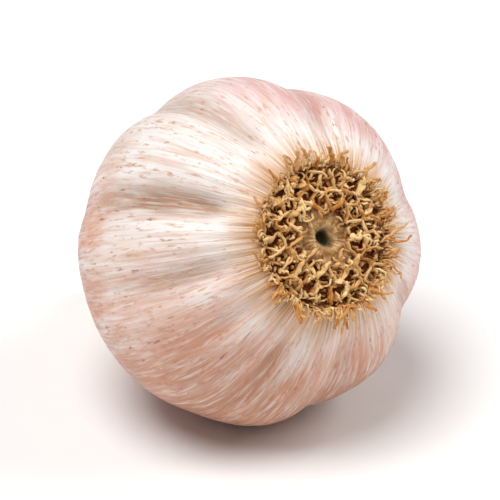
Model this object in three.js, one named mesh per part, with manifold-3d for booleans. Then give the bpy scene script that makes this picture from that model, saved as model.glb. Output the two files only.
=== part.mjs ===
// A hardneck garlic bulb lying on its side. It rests on two of its cloves and on the cut end of its
// neck, so that its roots face forwards and up. Units are millimetres, +Z is up, and it lies on z = 0.
// It is three pieces: the bulb in its papery skin, the tuft of dried roots, and the cut flower stalk.

import * as THREE from "three";
import { mergeVertices } from "three/addons/utils/BufferGeometryUtils.js";
import Module from "manifold-3d";

const wasm = await Module();
wasm.setup();

// The bulb's own frame has its origin in the middle of the widest section, and +Z out through the roots.
const BODY_RADIUS = 28; // widest half-width
const ROOT_HEIGHT = 26; // half-height of the round body on the roots' side
const NECK_HEIGHT = 25.2; // and on the neck's side
const SHOULDER_DEG = 138; // where the round body turns into the neck, counted from the root end
const NECK_RADIUS = 5.6; // at the cut
const NECK_END = 41.65; // widest section to the cut
const SHOULDER_REACH = 10.5; // how far the round body's line runs on into the neck's curve
const NECK_RUN = 11; // straight part of the neck, back from the cut

// How it lies on the surface.
const LEAN_DEG = 31.5; // the root end points this far above the horizon
const CENTRE = new THREE.Vector3(0.1, -4.7, 26.56); // the bulb's own origin

// The sockets in the bulb, and the pieces that sit in them.
const SOCKET_RADIUS = 11.5;
const SOCKET_FLOOR = 20.5;
const STALK_RADIUS = 4.5;
const STALK_DEPTH = 11; // from the neck's cut down into the neck
const STALK_BELOW_CUT = 1; // the stalk has shrunk back from the neck's rim
const PITH_DEPTH = 0.9; // and its soft middle has sunk in
const GAP = 0.35; // air between two pieces
const SEAT_INSET = 0.2; // the seat's walls lean in this much towards its floor
const THROAT_FLARE = 0.2; // the hole in the neck opens this much wider at the cut
const THROAT_DEPTH = 2; // and is at its full tightness this far in

// Valleys in the skin between and over the cloves: [degrees round the axis, depth, reach]. The underside
// is at 270 degrees. The reach is how far along the skin's outline a valley has half faded.
const VALLEYS = [
  [2, 1.4, 0.6],
  [62, 1.7, 0.6],
  [103, 2.1, 0.6],
  [146, 3.2, 0.45],
  [178, 2.6, 0.36],
  [203, 1.5, 0.34],
  [232, 2.2, 0.32],
  [268.5, 1.8, 0.6],
  [316, 1.9, 0.6],
];
const VALLEY_START = 0.13; // where along the outline the valleys are at their full depth
const VALLEY_FADE = 0.25; // half the stretch over which they fade towards the neck
const VALLEY_SOFTENING_DEG = 4; // the skin bridges each valley over about this much
const BACK_FULLNESS = 0.9; // lower makes the backs between the valleys flatter, with steeper sides
const PLEATS = 17; // folds of dry skin round the neck
const PLEAT_HEIGHT = 0.34;
const RIM_RAGGEDNESS = 0.45;

// Roots: rings of stubs on the plate, as [ring radius, count, lean from upright in degrees, length].
const ROOT_RINGS = [
  [4.5, 9, 22, 1.6],
  [6.0, 14, 30, 2.0],
  [7.5, 19, 38, 2.3],
  [8.9, 24, 52, 2.7],
  [10.0, 30, 74, 3.9],
];
const RING_PLAY = [-0.5, 0.2]; // how far a root strays from its ring
const TURN_PLAY = 0.3; // and along it, as a share of the step to the next root
const SIDEWAYS_DEG = 75; // how far an upright root's lean may turn away from straight outwards
const CURL_DEG = [12, 34]; // by which a root's lean grows at each segment
const TWIST_DEG = 32; // by which its heading may turn at each segment
const LENGTH_PLAY = [0.75, 1.25];
const ROOT_STUB_RADIUS = 0.42;
const ROOT_TIP_SHARE = 0.6; // the tip's radius as a share of the stub's
const ROOT_SEGMENTS = 4;
const ROOT_SIDES = 5;
const PLATE_TOP = 23.25;
const PLATE_LIP = 0.35; // the plate rises this much round the dimple
const PLATE_DROP = 0.4; // and sinks this much towards its edge
const ROOT_FOOT = PLATE_TOP - 1.3;
const ROOT_KNEE = PLATE_TOP + 0.6; // a root stands straight from its foot to its knee
const ROOT_CLEARANCE = 0.95; // from the skin up to an outer root's centre line
const DIMPLE_RADIUS = 1.3;
const DIMPLE_DEPTH = 2;

// Mesh density.
const AROUND = 104;
const ARC_ROWS = 24;
const NECK_ROWS = 12;
const ARC_SHARE = ARC_ROWS / (ARC_ROWS + NECK_ROWS);
const PLATE_SEGMENTS = 40;
const STALK_SEGMENTS = 28;
const FINEST_EDGE = 0.02; // shorter edges, which the joins leave, are collapsed

const { degToRad, euclideanModulo, lerp, radToDeg, smoothstep } = THREE.MathUtils;

// The skin's outline in the half-plane through the axis. `along` runs from the root socket's edge (0),
// over an elliptical arc to the shoulder, and down one Bezier curve to the neck's cut (1).
function skinOutline(along) {
  const rimDeg = radToDeg(Math.asin(SOCKET_RADIUS / BODY_RADIUS));
  const onArc = (degrees) => {
    const angle = degToRad(degrees);
    const height = degrees < 90 ? ROOT_HEIGHT : NECK_HEIGHT;
    return new THREE.Vector2(BODY_RADIUS * Math.sin(angle), height * Math.cos(angle));
  };
  if (along <= ARC_SHARE) return onArc(lerp(rimDeg, SHOULDER_DEG, along / ARC_SHARE));
  const shoulder = onArc(SHOULDER_DEG);
  const heading = shoulder.clone().sub(onArc(SHOULDER_DEG - 0.1)).normalize();
  const neck = new THREE.CubicBezierCurve(
    shoulder,
    shoulder.clone().addScaledVector(heading, SHOULDER_REACH),
    new THREE.Vector2(NECK_RADIUS, NECK_RUN - NECK_END),
    new THREE.Vector2(NECK_RADIUS, -NECK_END),
  );
  return neck.getPoint((along - ARC_SHARE) / (1 - ARC_SHARE));
}

// How deep the skin lies below the round body: rounded backs with creases between them.
function creaseDepth(along, degrees) {
  const turn = euclideanModulo(degrees, 360);
  const after = VALLEYS.findIndex(([at]) => at > turn);
  const end = VALLEYS[Math.max(after, 0)];
  const start = VALLEYS.at(Math.max(after, 0) - 1);
  const width = euclideanModulo(end[0] - start[0], 360);
  const across = euclideanModulo(turn - start[0], 360) / width;
  const back = Math.pow(4 * across * (1 - across), BACK_FULLNESS);
  const [startDepth, endDepth] = [start, end].map(
    ([, depth, reach]) => depth * (1 - smoothstep(along, reach - VALLEY_FADE, reach + VALLEY_FADE)),
  );
  return lerp(startDepth, endDepth, smoothstep(across, 0, 1)) * (1 - back);
}

// The same with the skin stretched over the creases, and gathered in round the root plate.
function valleyDepth(along, degrees) {
  const steps = [-1, -0.5, 0, 0.5, 1];
  const weights = [1, 2, 2, 2, 1];
  const sum = steps.reduce(
    (total, step, i) => total + weights[i] * creaseDepth(along, degrees + step * VALLEY_SOFTENING_DEG),
    0,
  );
  return (smoothstep(along, 0, VALLEY_START) * sum) / 8;
}

// Uneven folds of skin round the neck, from -1 to 1.
function pleat(degrees) {
  const angle = degToRad(degrees);
  return 0.7 * Math.sin(PLEATS * angle + 1.6 * Math.sin(2 * angle)) + 0.3 * Math.sin(7 * angle + 1);
}

// A point on the skin.
function skinPoint(along, degrees) {
  const here = skinOutline(along);
  const step = skinOutline(Math.min(along + 1e-3, 1)).sub(skinOutline(Math.max(along - 1e-3, 0)));
  const outward = new THREE.Vector2(-step.y, step.x).normalize();
  const onNeck = smoothstep(along, 0.6, 0.85);
  here.addScaledVector(outward, PLEAT_HEIGHT * onNeck * pleat(degrees));
  here.addScaledVector(outward, -valleyDepth(along, degrees));
  here.y += RIM_RAGGEDNESS * smoothstep(along, 0.9, 1) * pleat(1.7 * degrees + 40 * pleat(degrees));
  const angle = degToRad(degrees);
  return new THREE.Vector3(here.x * Math.cos(angle), here.x * Math.sin(angle), here.y);
}

// A closed surface from rows of points round the axis, in order from one end to the other.
function closedRows(rows, startPoint, endPoint) {
  const positions = [startPoint, ...rows.flat(), endPoint].flatMap((p) => [p.x, p.y, p.z]);
  const last = positions.length / 3 - 1;
  const count = rows[0].length;
  const at = (row, i) => 1 + row * count + (i % count);
  const faces = [];
  for (let i = 0; i < count; i++) {
    faces.push(0, at(0, i), at(0, i + 1));
    for (let row = 0; row + 1 < rows.length; row++) {
      faces.push(at(row, i), at(row + 1, i), at(row + 1, i + 1));
      faces.push(at(row, i), at(row + 1, i + 1), at(row, i + 1));
    }
    faces.push(at(rows.length - 1, i + 1), at(rows.length - 1, i), last);
  }
  const geometry = new THREE.BufferGeometry();
  geometry.setAttribute("position", new THREE.Float32BufferAttribute(positions, 3));
  geometry.setIndex(faces);
  return geometry;
}

function ringRow(radius, height, count) {
  return Array.from({ length: count }, (_, i) => {
    const angle = (2 * Math.PI * i) / count;
    return new THREE.Vector3(radius * Math.cos(angle), radius * Math.sin(angle), height);
  });
}

function toSolid(geometry) {
  const bare = geometry.clone().deleteAttribute("normal").deleteAttribute("uv");
  const merged = mergeVertices(bare, 1e-4);
  return new wasm.Manifold(
    new wasm.Mesh({
      numProp: 3,
      vertProperties: merged.attributes.position.array,
      triVerts: new Uint32Array(merged.index.array),
    }),
  );
}

function toGeometry(solid) {
  const { vertProperties, triVerts } = solid.getMesh();
  const geometry = new THREE.BufferGeometry();
  geometry.setAttribute("position", new THREE.BufferAttribute(vertProperties, 3));
  geometry.setIndex(new THREE.BufferAttribute(triVerts, 1));
  geometry.computeVertexNormals();
  return geometry;
}

// The outermost surface alone: what the pieces seal between them is filled, and loose scraps go.
function outermost(solid) {
  return solid.decompose().reduce((best, part) => (part.volume() > best.volume() ? part : best));
}

// Everything below the surface, in the bulb's own frame.
function groundBlock() {
  const size = 200; // far larger than the bulb
  const toBulb = new THREE.Matrix4()
    .makeRotationX(degToRad(90 - LEAN_DEG))
    .setPosition(CENTRE)
    .invert();
  return new THREE.BoxGeometry(size, size, size).translate(0, 0, -size / 2).applyMatrix4(toBulb);
}

// The bulb in its skin, with its neck, the root plate's seat and the stalk's hole. Where it rests, its
// own weight has pressed it flat.
function bulbGeometry() {
  const rows = [ringRow(SOCKET_RADIUS - SEAT_INSET, SOCKET_FLOOR, AROUND)];
  const skinRows = ARC_ROWS + NECK_ROWS;
  for (let row = 0; row <= skinRows; row++) {
    rows.push(
      Array.from({ length: AROUND }, (_, i) => skinPoint(row / skinRows, (360 * i) / AROUND)),
    );
  }
  const holeRadius = STALK_RADIUS + GAP;
  const mouthRow = rows
    .at(-1)
    .map((p) => new THREE.Vector3(p.x, p.y, 0).setLength(holeRadius + THROAT_FLARE).setZ(p.z));
  rows.push(
    mouthRow,
    ringRow(holeRadius, -NECK_END + THROAT_DEPTH, AROUND),
    ringRow(holeRadius, -NECK_END + STALK_DEPTH, AROUND),
  );
  const solid = toSolid(
    closedRows(
      rows,
      new THREE.Vector3(0, 0, SOCKET_FLOOR),
      new THREE.Vector3(0, 0, -NECK_END + STALK_DEPTH),
    ),
  );
  return toGeometry(solid.subtract(toSolid(groundBlock())));
}

// The same numbers on every run: a fraction from 0 to 1 for each root and each use.
function draw(root, use) {
  const x = Math.sin(12.9898 * root + 78.233 * use) * 43758.5453;
  return x - Math.floor(x);
}

// A root's centre line: it comes straight up out of the plate, leans outwards, and curls over. Where it
// passes the plate's edge it lies along the skin.
function rootLine(root, ringRadius, turn, leanDeg, length) {
  const place = degToRad(turn);
  const point = new THREE.Vector3(ringRadius * Math.cos(place), ringRadius * Math.sin(place), 0);
  const points = [ROOT_FOOT, ROOT_KNEE].map((height) => point.clone().setZ(height));
  point.z = ROOT_KNEE;
  const sideways = lerp(-SIDEWAYS_DEG, SIDEWAYS_DEG, draw(root, 3)) * (1 - leanDeg / 90);
  let heading = place + degToRad(sideways);
  let lean = degToRad(leanDeg * lerp(0.5, 1, draw(root, 4)));
  const curl = degToRad(lerp(...CURL_DEG, draw(root, 5)));
  const twist = degToRad(lerp(-TWIST_DEG, TWIST_DEG, draw(root, 6)));
  const step = (length * lerp(...LENGTH_PLAY, draw(root, 7))) / (ROOT_SEGMENTS - 1);
  while (points.length <= ROOT_SEGMENTS) {
    point.x += step * Math.sin(lean) * Math.cos(heading);
    point.y += step * Math.sin(lean) * Math.sin(heading);
    point.z += step * Math.cos(lean);
    const fromAxis = Math.hypot(point.x, point.y);
    const skin = ROOT_HEIGHT * Math.sqrt(1 - (fromAxis / BODY_RADIUS) ** 2);
    if (fromAxis > SOCKET_RADIUS - 1) point.z = Math.max(point.z, skin + ROOT_CLEARANCE);
    points.push(point.clone());
    lean += curl;
    heading += twist;
  }
  return points;
}

// A tapering stub along a line of points.
function stubGeometry(line) {
  const path = new THREE.CatmullRomCurve3(line);
  const { normals, binormals } = path.computeFrenetFrames(ROOT_SEGMENTS, false);
  const rows = normals.map((normal, i) => {
    const point = path.getPointAt(i / ROOT_SEGMENTS);
    const radius = ROOT_STUB_RADIUS * lerp(1, ROOT_TIP_SHARE, i / ROOT_SEGMENTS);
    return Array.from({ length: ROOT_SIDES }, (_, k) => {
      const angle = (2 * Math.PI * k) / ROOT_SIDES;
      return point
        .clone()
        .addScaledVector(normal, -radius * Math.cos(angle))
        .addScaledVector(binormals[i], radius * Math.sin(angle));
    });
  });
  return closedRows(rows, line[0], line.at(-1));
}

// The corky plate with a dimple in its middle, and the stubs fused to it.
function rootTuftGeometry() {
  const edge = SOCKET_RADIUS - SEAT_INSET - GAP;
  const floor = SOCKET_FLOOR + GAP;
  const outline = [
    [DIMPLE_RADIUS * 0.6, PLATE_TOP - DIMPLE_DEPTH],
    [DIMPLE_RADIUS, PLATE_TOP - DIMPLE_DEPTH * 0.4],
    [DIMPLE_RADIUS * 1.6, PLATE_TOP + PLATE_LIP],
    [DIMPLE_RADIUS * 2.6, PLATE_TOP + PLATE_LIP * 0.5],
    [edge * 0.6, PLATE_TOP - PLATE_DROP * 0.25],
    [edge, PLATE_TOP - PLATE_DROP],
    [edge, floor],
  ];
  const rows = outline.map(([radius, height]) => ringRow(radius, height, PLATE_SEGMENTS));
  let solid = toSolid(
    closedRows(
      rows,
      new THREE.Vector3(0, 0, PLATE_TOP - DIMPLE_DEPTH),
      new THREE.Vector3(0, 0, floor),
    ),
  );
  let root = 0;
  for (const [radius, count, lean, length] of ROOT_RINGS) {
    for (let i = 0; i < count; i++) {
      const turn = (360 / count) * (i + lerp(-TURN_PLAY, TURN_PLAY, draw(root, 1)));
      const ringRadius = radius + lerp(...RING_PLAY, draw(root, 2));
      const stub = stubGeometry(rootLine(root, ringRadius, turn, lean, length));
      solid = solid.add(toSolid(stub));
      root += 1;
    }
  }
  return toGeometry(outermost(solid.simplify(FINEST_EDGE)));
}

// The stub of the flower stalk, cut with the neck and shrunk back a little, with a hollow pith.
function flowerStalkGeometry() {
  const face = -NECK_END + STALK_BELOW_CUT;
  const end = -NECK_END + STALK_DEPTH - GAP;
  const outline = [
    [STALK_RADIUS, end],
    [STALK_RADIUS, face + PITH_DEPTH * 0.3],
    [STALK_RADIUS * 0.85, face],
    [STALK_RADIUS * 0.4, face + PITH_DEPTH * 0.2],
    [STALK_RADIUS * 0.2, face + PITH_DEPTH * 0.9],
  ];
  return closedRows(
    outline.map(([radius, height]) => ringRow(radius, height, STALK_SEGMENTS)),
    new THREE.Vector3(0, 0, end),
    new THREE.Vector3(0, 0, face + PITH_DEPTH),
  );
}

const SKIN = new THREE.MeshStandardMaterial({ color: 0xf1d9cd, roughness: 0.5, metalness: 0 });
const ROOTS = new THREE.MeshStandardMaterial({ color: 0xb98a5c, roughness: 0.85, metalness: 0 });
const STALK = new THREE.MeshStandardMaterial({ color: 0xe6bd8c, roughness: 0.75, metalness: 0 });

function named(name, geometry, material) {
  const mesh = new THREE.Mesh(geometry, material);
  mesh.name = name;
  return mesh;
}

const lyingBulb = new THREE.Group();
lyingBulb.position.copy(CENTRE);
lyingBulb.rotation.x = degToRad(90 - LEAN_DEG);
lyingBulb.add(
  named("bulb", bulbGeometry(), SKIN),
  named("root_tuft", rootTuftGeometry(), ROOTS),
  named("flower_stalk", flowerStalkGeometry(), STALK),
);

const garlic = new THREE.Group();
garlic.add(lyingBulb);

export default garlic;
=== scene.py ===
# %% [markdown]
# A whole garlic bulb lies on a pale floor with its roots towards us. The solids of model.glb are read in
# and kept.

import bpy
import numpy as np
from mathutils import Matrix, Vector, noise


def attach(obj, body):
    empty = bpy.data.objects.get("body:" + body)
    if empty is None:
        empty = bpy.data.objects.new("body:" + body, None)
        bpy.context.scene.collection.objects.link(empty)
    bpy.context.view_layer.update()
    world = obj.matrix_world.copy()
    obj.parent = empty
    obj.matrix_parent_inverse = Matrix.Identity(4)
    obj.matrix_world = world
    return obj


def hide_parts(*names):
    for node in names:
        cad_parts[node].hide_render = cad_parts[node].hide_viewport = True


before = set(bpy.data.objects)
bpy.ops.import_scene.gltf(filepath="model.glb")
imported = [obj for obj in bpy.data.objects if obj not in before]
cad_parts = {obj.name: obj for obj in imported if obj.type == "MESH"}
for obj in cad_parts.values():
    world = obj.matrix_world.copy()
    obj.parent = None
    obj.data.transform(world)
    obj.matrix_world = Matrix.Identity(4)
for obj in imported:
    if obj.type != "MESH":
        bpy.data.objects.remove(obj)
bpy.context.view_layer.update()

# %% [markdown]
# The bulb lies tilted, but it grew round one straight line. It could be modelled as it lies, and then every
# distance from its axis would need a slanted sum. It is modelled in its own frame instead, in millimetres,
# with the roots at the top of its axis and the neck at the bottom, because all its forms are round about
# that axis. One matrix lays it down on the floor, in metres.

# %% The bulb's own frame
MM = 0.001
LEAN = np.radians(31.5)
CENTRE_MM = Vector((0.1, -4.7, 26.56))
LAY_DOWN = (
    Matrix.Scale(MM, 4) @ Matrix.Translation(CENTRE_MM) @ Matrix.Rotation(np.pi / 2 - LEAN, 4, "X")
)


def laid_down(points):
    """Points of the bulb's own frame, in mm, as points in the room, in m."""
    turn = np.array(LAY_DOWN)
    return points @ turn[:3, :3].T + turn[:3, 3]


print("the roots point along", [round(v, 3) for v in LAY_DOWN.to_3x3() @ Vector((0, 0, 1)) / MM])

# %% [markdown]
# The skin is drawn tight over the cloves, so its outline through the axis is simple: an arc of an ellipse
# over the body, then one curve down the neck. It could be sculpted by hand, but then nothing would tie it to
# the solids. A formula does, and it can be asked for any point. The arc comes first, from the edge of the
# root plate over the widest part to the shoulder, a little flatter on the neck's side.

# %% Outline over the body
BODY_RADIUS = 28
ROOT_HEIGHT = 26.0
NECK_HEIGHT = 25.2
SOCKET_RADIUS = 11.5
RIM_DEG = np.degrees(np.arcsin(SOCKET_RADIUS / BODY_RADIUS))
SHOULDER_DEG = 138


def arc_point(degrees):
    """Radius and height on the body, at an angle from the axis that is 0 at the roots."""
    angle = np.radians(degrees)
    height = np.where(np.asarray(degrees) < 90, ROOT_HEIGHT, NECK_HEIGHT)
    return np.stack([BODY_RADIUS * np.sin(angle), height * np.cos(angle)], -1)


three_points = arc_point(np.array([RIM_DEG, 90, SHOULDER_DEG]))
print("the body's arc, radius and height:", three_points.round(1).tolist())

# %% [markdown]
# The neck is the leaf sheaths running on together. It leaves the shoulder in one sweep, which a cubic Bezier
# curve draws from four points: the shoulder, a point further on in the same heading, one on the neck, and
# the cut. `along` runs from 0 at the root plate's edge to 1 at that cut. Arrays go in and out, so that a
# whole grid of the skin is worked out at once.

# %% Outline down the neck
SHOULDER_REACH = 10.5
NECK_RADIUS = 5.6
NECK_END = 41.65
NECK_RUN = 11
ARC_SHARE = 2 / 3


def skin_outline(along):
    """Radius and height of the skin without its relief."""
    arc = arc_point(RIM_DEG + (SHOULDER_DEG - RIM_DEG) * np.minimum(along / ARC_SHARE, 1))
    shoulder = arc_point(SHOULDER_DEG)
    just_before = arc_point(SHOULDER_DEG - 0.1)
    heading = shoulder - just_before
    reach = shoulder + heading / np.linalg.norm(heading) * SHOULDER_REACH
    t = np.clip((along - ARC_SHARE) / (1 - ARC_SHARE), 0, 1)[..., None]
    neck = (
        (1 - t) ** 3 * shoulder
        + 3 * (1 - t) ** 2 * t * reach
        + 3 * (1 - t) * t**2 * np.array([NECK_RADIUS, NECK_RUN - NECK_END])
        + t**3 * np.array([NECK_RADIUS, -NECK_END])
    )
    return np.where(along[..., None] <= ARC_SHARE, arc, neck)


outline_points = skin_outline(np.linspace(0, 1, 400))
SKIN_LENGTH = float(np.linalg.norm(np.diff(outline_points, axis=0), axis=1).sum())
print("skin", round(SKIN_LENGTH, 1), "mm long from root plate to neck")

# %% [markdown]
# The cloves show through the skin as nine rounded backs with creases between them, some deep and some
# shallow. Separate cloves with a cloth shrunk over them would do it too, but the cloth would fold where it
# likes, and here the folds have places. So each crease is one row of a table: degrees round the axis, depth
# in mm, and how far along the bulb it reaches. Between two creases the back is a power of a parabola, flat
# on top and steep at its sides.

# %% Backs of the cloves
VALLEYS = np.array([
    (2, 1.4, 0.6), (62, 1.7, 0.6), (103, 2.1, 0.6),
    (146, 3.2, 0.45), (178, 2.6, 0.36), (203, 1.5, 0.34),
    (232, 2.2, 0.32), (268.5, 1.8, 0.6), (316, 1.9, 0.6),
])
VALLEY_FADE = 0.25
BACK_FULLNESS = 0.9


def smoothstep(x, low, high):
    """0 up to low, 1 from high on, and a soft rise between them."""
    t = np.clip((x - low) / (high - low), 0, 1)
    return t * t * (3 - 2 * t)


def crease_depth(along, degrees):
    """How far the backs of the cloves lie below the outline, with sharp creases between them."""
    places, depths, reaches = VALLEYS.T
    turn = np.mod(degrees, 360)
    after = np.searchsorted(places, turn, side="right") % len(places)
    width = np.mod(places[after] - places[after - 1], 360)
    across = np.mod(turn - places[after - 1], 360) / width
    back = (4 * across * (1 - across)) ** BACK_FULLNESS
    start, end = (
        depths[i] * (1 - smoothstep(along, reaches[i] - VALLEY_FADE, reaches[i] + VALLEY_FADE))
        for i in (after - 1, after)
    )
    return (start + (end - start) * smoothstep(across, 0, 1)) * (1 - back)


print(len(VALLEYS), "creases, the deepest", VALLEYS[:, 1].max(), "mm")

# %% [markdown]
# Stretched paper doesn't go down into a crease, it bridges it. A smoothing modifier would soften the veins
# and pleats as well, so only the depth of the creases is averaged, over a few degrees to either side. Close
# to the root plate the cloves merge, and the creases fade out.

# %% Skin over the creases
VALLEY_START = 0.13
VALLEY_SOFTENING_DEG = 4
SOFTENING_WEIGHTS = [1, 2, 2, 2, 1]


def valley_depth(along, degrees):
    """How far the skin lies below the outline in the creases that it bridges."""
    steps = np.linspace(-1, 1, len(SOFTENING_WEIGHTS)) * VALLEY_SOFTENING_DEG
    total = sum(w * crease_depth(along, degrees + step) for w, step in zip(SOFTENING_WEIGHTS, steps))
    return smoothstep(along, 0, VALLEY_START) * total / sum(SOFTENING_WEIGHTS)


print("deepest bridged crease", round(float(valley_depth(0.2, np.arange(360.0)).max()), 2), "mm")

# %% [markdown]
# Down the neck the skin is gathered into pleats, as cloth is at the mouth of a tied sack. They could be
# placed one by one, as the creases are, but no pleat matters by itself. A sine whose phase is pushed to and
# fro gives pleats of uneven width in one line, and a few broader folds go under them.

# %% Pleats of the neck
PLEATS = 17
BROAD_FOLDS = 7


def pleat(degrees):
    """The folds round the neck, from -1 in a groove to 1 on a ridge."""
    angle = np.radians(degrees)
    narrow = np.sin(PLEATS * angle + 1.6 * np.sin(2 * angle))
    broad = np.sin(BROAD_FOLDS * angle + 1)
    return 0.7 * narrow + 0.3 * broad


print(PLEATS, "pleats, the highest", pleat(np.arange(360)).max().round(2))

# %% [markdown]
# The solids stop there, but a real skin has more: long veins that run from pole to pole, puckers where it is
# gathered in at the root plate, fine folds down the neck, and a soft unevenness all over. A bump map could
# draw them, but an edge seen against the light shows relief and not a bump map, so they are added to the
# form. Veins, puckers and folds are sums of sines with a whole number of waves round the bulb, which close
# up without a seam. The unevenness is Blender's own smooth noise.

# %% Waves and unevenness
VEINS = [23, 31, 43, 58, 76]


def waves(counts, angle, along, seed):
    """Waves round the axis that wander a little along it, from about -1 to 1."""
    draw = np.random.default_rng(seed)
    total = 0
    for count in counts:
        start, drift, wander = draw.uniform(0, 2 * np.pi, 3)
        bend = 0.9 * np.sin(5 * along + drift) + 0.5 * np.sin(11 * along + wander)
        strength = 0.6 + 0.4 * np.sin(3 * angle + drift + 4 * along)
        total = total + strength * np.sin(count * angle + start + bend)
    return total / len(counts) ** 0.5


def unevenness(points, size_mm):
    """Smooth noise with lumps of about the given size, from about -1 to 1."""
    flat = points.reshape(-1, 3) / size_mm
    return np.array([noise.noise(p) for p in flat]).reshape(points.shape[:-1])


print("veins lie", [round(2 * np.pi * BODY_RADIUS / count, 1) for count in VEINS], "mm apart at the widest")

# %% [markdown]
# Each kind of relief has a height in millimetres and a stretch of the bulb that it belongs to. Their sum
# moves the outline straight outwards, and turning it round the axis gives the skin. The cut rim of the neck
# is torn as well, so the last tenth of the skin goes up and down by up to half a millimetre.

# %% Relief of the skin
VEIN_HEIGHT = 0.035
PUCKERS = [29, 37, 52, 67]
PUCKER_HEIGHT = 0.13
PLEAT_HEIGHT = 0.34
FINE_PLEATS = [33, 41, 59]
FINE_PLEAT_HEIGHT = 0.12
LUMP_SIZE = 13
LUMP_HEIGHT = 0.35


def turned(flat, angle):
    """Points of the bulb's own frame, from radius and height and the angle round the axis."""
    around = np.stack([np.cos(angle), np.sin(angle)], -1)
    return np.concatenate([flat[..., :1] * around, flat[..., 1:]], -1)


def relief(along, degrees):
    """How far the skin stands out from its outline, in mm."""
    angle = np.radians(degrees)
    on_neck = smoothstep(along, 0.6, 0.85)
    smooth = turned(skin_outline(along), angle)
    lift = PLEAT_HEIGHT * on_neck * pleat(degrees) - valley_depth(along, degrees)
    lift += LUMP_HEIGHT * (1 - on_neck) * smoothstep(along, 0, 0.15) * unevenness(smooth, LUMP_SIZE)
    lift += VEIN_HEIGHT * waves(VEINS, angle, along, seed=1)
    lift += PUCKER_HEIGHT * (1 - smoothstep(along, 0.04, 0.22)) * waves(PUCKERS, angle, along, seed=2)
    lift += FINE_PLEAT_HEIGHT * on_neck * waves(FINE_PLEATS, angle, along, seed=3)
    return lift


one_meridian = relief(np.linspace(0, 1, 50), np.full(50, 90.0))
print("relief on the upper side from", one_meridian.min().round(2), "to", one_meridian.max().round(2), "mm")

# %% Points of the skin
SLOPE_STEP = 1e-3
RIM_RAGGEDNESS = 0.45


def outward_at(along):
    """The direction straight out of the outline, as radius and height."""
    before = skin_outline(np.maximum(along - SLOPE_STEP, 0))
    ahead = skin_outline(np.minimum(along + SLOPE_STEP, 1)) - before
    outward = np.stack([-ahead[..., 1], ahead[..., 0]], -1)
    return outward / np.linalg.norm(outward, axis=-1, keepdims=True)


def skin_points(along, degrees):
    """The skin, over arrays of the two coordinates, in the bulb's own frame."""
    here = skin_outline(along) + outward_at(along) * relief(along, degrees)[..., None]
    rag = pleat(1.7 * degrees + 40 * pleat(degrees))
    here[..., 1] += RIM_RAGGEDNESS * smoothstep(along, 0.9, 1) * rag
    return turned(here, np.radians(degrees))


print("top of the bulb, half way along:", skin_points(np.array([0.5]), np.array([90.0])).round(2).tolist())

# %% [markdown]
# Every piece becomes a mesh from a list of points and a list of faces. Modifiers on a few points would be
# handier to change by hand, but here a formula knows each point, so the lists are the shortest way. The
# material needs to know where on the bulb it is. That is stored with the points as attributes, which stay
# with the mesh, so a pattern made from them can't slide. No point goes below the floor.

# %% One piece
FLOOR_LEVEL = 0.0


def mesh_piece(name, points, faces, numbers):
    """A smooth mesh object in the room from points in the bulb's own frame."""
    placed = laid_down(points)
    placed[:, 2] = np.maximum(placed[:, 2], FLOOR_LEVEL)
    mesh = bpy.data.meshes.new(name)
    mesh.from_pydata(placed.tolist(), [], faces)
    for key, values in numbers.items():
        values = np.asarray(values, np.float32)
        kind, field = ("FLOAT_VECTOR", "vector") if values.ndim == 2 else ("FLOAT", "value")
        mesh.attributes.new(key, kind, "POINT").data.foreach_set(field, values.ravel())
    mesh.shade_smooth()
    piece = bpy.data.objects.new(name, mesh)
    bpy.context.collection.objects.link(piece)
    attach(piece, "root")
    print(f"{name}: {len(mesh.vertices)} points, {len(mesh.polygons)} faces")
    return piece


# %% [markdown]
# Skin, plate, stalk and sheaths are all rows of points that close round the axis. The faces between two rows
# follow from the numbering of the points, so one helper serves them all. It closes both ends with a fan to a
# middle point, or joins the last row to the first, as on a thin tube with an inside and an outside.

# %% Rows of points
def row_faces(rows, count, closed_loop):
    """Quads between neighbouring rows of a grid, numbered row by row."""
    row = np.arange(rows if closed_loop else rows - 1)[:, None] * count
    i = np.arange(count)[None, :]
    nxt = (i + 1) % count
    below = (row + count) % (rows * count)
    return np.stack([row + i, below + i, below + nxt, row + nxt], -1).reshape(-1, 4).tolist()


def end_fans(rows, count):
    """Triangles from the first and the last row to the two middle points that follow the grid."""
    first, last = rows * count, rows * count + 1
    fans = []
    for i in range(count):
        nxt = (i + 1) % count
        fans.append([first, i, nxt])
        fans.append([last, (rows - 1) * count + nxt, (rows - 1) * count + i])
    return fans


def rows_piece(name, grid, numbers, closed_loop=False):
    """A closed piece from a grid of points: rows x columns x 3."""
    rows, count, _ = grid.shape
    points = grid.reshape(-1, 3)
    faces = row_faces(rows, count, closed_loop)
    numbers = {k: np.asarray(v, float).reshape(rows * count, -1).squeeze() for k, v in numbers.items()}
    if not closed_loop:
        points = np.vstack([points, grid[0].mean(0), grid[-1].mean(0)])
        faces += end_fans(rows, count)
        numbers = {k: np.concatenate([v, v[:1], v[-1:]]) for k, v in numbers.items()}
    return mesh_piece(name, points, faces, numbers)


print("three rows of four:", len(row_faces(3, 4, False)), "quads,", len(end_fans(3, 4)), "triangles")

# %% [markdown]
# The skin's grid has to be fine enough for its veins: 76 waves round the bulb need more than 400 columns. A
# coarse grid with a subdivision modifier would only round them off. The first rows turn the edge inwards as
# the seat of the root plate. The last ones go over the ragged rim of the neck and down inside it, so that
# the paper shows its thickness there. The two short tables say how far each row of the seat stands out from
# the socket's edge and each row of the throat from the stalk, and how high it lies.

# %% Grid of the skin
AROUND = 416
SKIN_ROWS = 222
WALL = 0.4
SOCKET_FLOOR = 20.5
STALK_RADIUS = 4.5
SEAT_RINGS = [(-1.5, 0), (-0.4, 0), (-0.2, 1.6)]
THROAT_RINGS = [(0.4, 2), (0.1, 4.5)]


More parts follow.
